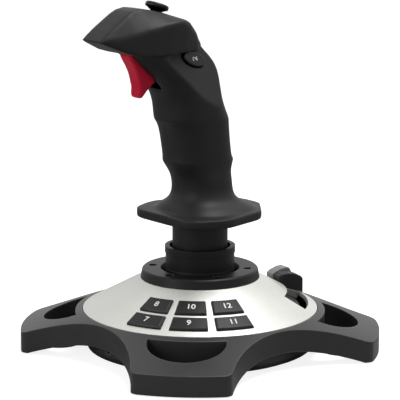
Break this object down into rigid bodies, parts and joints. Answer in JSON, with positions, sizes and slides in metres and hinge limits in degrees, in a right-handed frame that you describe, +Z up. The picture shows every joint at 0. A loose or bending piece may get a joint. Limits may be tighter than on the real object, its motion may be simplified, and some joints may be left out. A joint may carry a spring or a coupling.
{
  "type": "flight joystick",
  "caption": "Desktop flight joystick with a tilting, twisting pistol grip, trigger, thumb hat and buttons, dome keys and a throttle lever on a four-footed base.",
  "frame": {"origin": "on the table top, on the axis of the round base", "axes": "+Y forward, away from the user, +X to the user's right, +Z up"},
  "size_m": [0.187, 0.187, 0.2136],
  "materials": {
    "frame_grey": "dark grey moulded plastic, fine grain",
    "dome_silver": "silver painted plastic, satin",
    "black": "black moulded plastic",
    "grip_black": "soft black plastic, matte",
    "key_black": "black key caps with pale numbers",
    "trigger_red": "crimson plastic",
    "vane_grey": "light grey plastic",
    "knob_grey": "dark grey ribbed plastic",
    "inner_plastic": "unpainted white plastic",
    "steel": "plain steel",
    "screw": "blackened steel",
    "spring": "spring wire",
    "rubber": "black rubber",
    "board": "green circuit board",
    "pan_black": "black moulded plastic"
  },
  "bodies": {
    "base": {"base_frame": "frame_grey", "suction_cup_front_right": "rubber", "suction_cup_front_left": "rubber", "suction_cup_rear_left": "rubber", "suction_cup_rear_right": "rubber", "bottom_pan": "pan_black", "cable_inlet": "rubber", "ballast_plate": "steel", "main_board": "board", "board_screws": "screw", "dome": "dome_silver", "key_board": "board", "throttle_track": "pan_black", "collar": "black", "collar_screws": "screw", "gimbal_housing": "pan_black"},
    "pitch_yoke": {"pitch_yoke": "inner_plastic", "pitch_springs": "spring"},
    "roll_yoke": {"roll_yoke": "inner_plastic", "roll_springs": "spring"},
    "stick": {"neck_sleeve": "black", "stick_shaft": "steel", "sensor_magnet": "steel", "twist_bushes": "inner_plastic", "twist_spring": "spring", "shaft_nut": "steel"},
    "grip": {"grip_left": "grip_black", "grip_right": "grip_black", "grip_screws": "screw", "twist_sensor": "pan_black", "trigger_pin": "steel", "trigger_switch": "pan_black", "thumb_switch": "pan_black", "button_board": "board", "hat_housing": "pan_black", "grip_board": "board"},
    "trigger": {"trigger": "trigger_red"},
    "thumb_button": {"thumb_button": "grip_black"},
    "head_button_3": {"head_button_3": "grip_black"},
    "head_button_4": {"head_button_4": "grip_black"},
    "head_button_5": {"head_button_5": "grip_black"},
    "head_button_6": {"head_button_6": "grip_black"},
    "hat_rocker": {"hat_rocker": "inner_plastic"},
    "hat": {"hat_cap": "grip_black"},
    "key_7": {"key_7": "key_black"},
    "key_8": {"key_8": "key_black"},
    "key_9": {"key_9": "key_black"},
    "key_10": {"key_10": "key_black"},
    "key_11": {"key_11": "key_black"},
    "key_12": {"key_12": "key_black"},
    "throttle": {"throttle_carrier": "vane_grey", "throttle_knob": "knob_grey"}
  },
  "joints": [
    {"name": "stick_pitch", "type": "hinge", "parent": "base", "child": "pitch_yoke", "pos_m": [0, 0, 0.0466], "axis": [1, 0, 0], "range_deg": [-15, 15], "stiffness_Nm_per_rad": 2.5},
    {"name": "stick_roll", "type": "hinge", "parent": "pitch_yoke", "child": "stick", "pos_m": [0, 0, 0.0466], "axis": [0, 1, 0], "range_deg": [-15, 15], "stiffness_Nm_per_rad": 2.5},
    {"name": "roll_sensing", "type": "hinge", "parent": "base", "child": "roll_yoke", "pos_m": [0, 0, 0.0466], "axis": [0, 1, 0], "range_deg": [-15, 15]},
    {"name": "grip_twist", "type": "hinge", "parent": "stick", "child": "grip", "pos_m": [0, 0, 0.0466], "axis": [0, 0, 1], "range_deg": [-20, 20], "stiffness_Nm_per_rad": 0.8},
    {"name": "trigger_pull", "type": "hinge", "parent": "grip", "child": "trigger", "pos_m": [0, 0.049, 0.1865], "axis": [-1, 0, 0], "range_deg": [0, 9], "stiffness_Nm_per_rad": 0.3},
    {"name": "button_2_press", "type": "slide", "parent": "grip", "child": "thumb_button", "axis": [0.9079, 0.2362, -0.3463], "range_m": [0, 0.001], "stiffness_N_per_m": 600},
    {"name": "button_3_press", "type": "slide", "parent": "grip", "child": "head_button_3", "axis": [0, 0.7428, -0.6695], "range_m": [0, 0.001], "stiffness_N_per_m": 600},
    {"name": "button_4_press", "type": "slide", "parent": "grip", "child": "head_button_4", "axis": [0, 0.7428, -0.6695], "range_m": [0, 0.001], "stiffness_N_per_m": 600},
    {"name": "button_5_press", "type": "slide", "parent": "grip", "child": "head_button_5", "axis": [0, 0.7428, -0.6695], "range_m": [0, 0.001], "stiffness_N_per_m": 600},
    {"name": "button_6_press", "type": "slide", "parent": "grip", "child": "head_button_6", "axis": [0, 0.7428, -0.6695], "range_m": [0, 0.001], "stiffness_N_per_m": 600},
    {"name": "hat_left_right", "type": "hinge", "parent": "hat_rocker", "child": "hat", "pos_m": [0, 0.03531, 0.2029], "axis": [0, 0.9397, 0.342], "range_deg": [-7, 7], "stiffness_Nm_per_rad": 0.12},
    {"name": "hat_fore_aft", "type": "hinge", "parent": "grip", "child": "hat_rocker", "pos_m": [0, 0.03531, 0.2029], "axis": [1, 0, 0], "range_deg": [-7, 7], "stiffness_Nm_per_rad": 0.12},
    {"name": "key_7_press", "type": "slide", "parent": "base", "child": "key_7", "axis": [0.1696, -0.4418, -0.881], "range_m": [0, 0.0012], "stiffness_N_per_m": 500},
    {"name": "key_8_press", "type": "slide", "parent": "base", "child": "key_8", "axis": [0.1696, -0.4418, -0.881], "range_m": [0, 0.0012], "stiffness_N_per_m": 500},
    {"name": "key_9_press", "type": "slide", "parent": "base", "child": "key_9", "axis": [0.3346, -0.3346, -0.881], "range_m": [0, 0.0012], "stiffness_N_per_m": 500},
    {"name": "key_10_press", "type": "slide", "parent": "base", "child": "key_10", "axis": [0.3346, -0.3346, -0.881], "range_m": [0, 0.0012], "stiffness_N_per_m": 500},
    {"name": "key_11_press", "type": "slide", "parent": "base", "child": "key_11", "axis": [0.4418, -0.1696, -0.881], "range_m": [0, 0.0012], "stiffness_N_per_m": 500},
    {"name": "key_12_press", "type": "slide", "parent": "base", "child": "key_12", "axis": [0.4418, -0.1696, -0.881], "range_m": [0, 0.0012], "stiffness_N_per_m": 500},
    {"name": "throttle_turn", "type": "hinge", "parent": "base", "child": "throttle", "pos_m": [0, 0, 0.03], "axis": [0, 0, 1], "range_deg": [-28, 52]}
  ],
  "couplings": [
    {"joint": "roll_sensing", "follows": "stick_roll", "ratio": 1}
  ]
}
